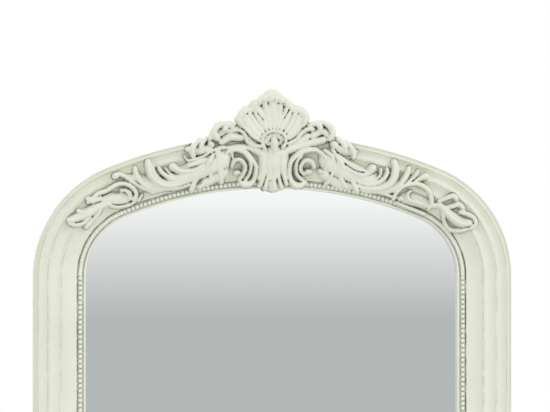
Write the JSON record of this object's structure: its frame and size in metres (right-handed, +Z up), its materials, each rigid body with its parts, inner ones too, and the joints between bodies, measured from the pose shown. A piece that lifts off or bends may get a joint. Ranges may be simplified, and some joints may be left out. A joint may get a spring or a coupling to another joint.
{
  "type": "cheval mirror",
  "caption": "Full-length tilting dressing mirror in an arched, moulded and painted frame with a carved shell crest and leaf sprays, hung between turned posts on cabriole feet.",
  "frame": {"origin": "on the floor, under the middle of the mirror and the pivot line", "axes": "+X to the right seen from the front, -Y towards the viewer, +Z up; the pivot line runs along X at z = 1.0 m"},
  "size_m": [0.825, 0.5288, 1.7995],
  "materials": {
    "painted_wood": "satin, pale sage-ivory distressed paint",
    "bare_wood": "bare",
    "backing_board": "bare plywood",
    "silvered_glass": "polished",
    "steel": "bright zinc",
    "brass": "aged",
    "leather": "natural"
  },
  "bodies": {
    "stand": {"post_left": "painted_wood", "post_right": "painted_wood", "finial_left": "painted_wood", "finial_right": "painted_wood", "foot_front_left": "painted_wood", "foot_front_right": "painted_wood", "foot_back_left": "painted_wood", "foot_back_right": "painted_wood", "stretcher": "painted_wood", "foot_pegs": "bare_wood", "stretcher_dowels": "bare_wood", "stretcher_bolts": "steel", "stretcher_barrel_nuts": "steel", "stretcher_bolt_caps": "brass", "foot_glides": "steel", "pivot_bush_left": "brass", "pivot_bush_right": "brass", "friction_washer_left": "leather", "friction_washer_right": "leather"},
    "mirror": {"frame_stile_right": "painted_wood", "frame_stile_left": "painted_wood", "frame_bottom_rail": "painted_wood", "frame_shoulder_right": "painted_wood", "frame_shoulder_left": "painted_wood", "frame_crown": "painted_wood", "shell_crest": "painted_wood", "leaf_spray_left": "painted_wood", "leaf_spray_right": "painted_wood", "arch_beads": "painted_wood", "stile_beads_left": "painted_wood", "stile_beads_right": "painted_wood", "rail_beads": "painted_wood", "arch_loose_tenons": "bare_wood", "mitre_splines": "bare_wood", "backing_board": "backing_board", "mirror_glass": "silvered_glass", "backing_screws": "steel", "pivot_plate_screws": "steel", "pivot_plate_left": "brass", "pivot_plate_right": "brass", "spindle_left": "steel", "spindle_right": "steel"},
    "clamp_washer_left": {"clamp_washer_left": "brass"},
    "clamp_washer_right": {"clamp_washer_right": "brass"},
    "knob_left": {"knob_left": "painted_wood", "knob_insert_left": "brass"},
    "knob_right": {"knob_right": "painted_wood", "knob_insert_right": "brass"}
  },
  "joints": [
    {"name": "mirror_tilt", "type": "hinge", "parent": "stand", "child": "mirror", "pos_m": [0, 0, 1], "axis": [1, 0, 0], "continuous": true},
    {"name": "clamp_travel_right", "type": "slide", "parent": "mirror", "child": "clamp_washer_right", "axis": [1, 0, 0], "range_m": [0, 0.00125]},
    {"name": "knob_turn_right", "type": "hinge", "parent": "clamp_washer_right", "child": "knob_right", "pos_m": [0.3765, 0, 1], "axis": [1, 0, 0], "range_deg": [0, 360]},
    {"name": "clamp_travel_left", "type": "slide", "parent": "mirror", "child": "clamp_washer_left", "axis": [-1, 0, 0], "range_m": [0, 0.00125]},
    {"name": "knob_turn_left", "type": "hinge", "parent": "clamp_washer_left", "child": "knob_left", "pos_m": [-0.3765, 0, 1], "axis": [-1, 0, 0], "range_deg": [0, 360]}
  ],
  "couplings": [
    {"joint": "knob_turn_right", "follows": "clamp_travel_right", "rad_per_m": 5026.5},
    {"joint": "knob_turn_left", "follows": "clamp_travel_left", "rad_per_m": 5026.5}
  ]
}
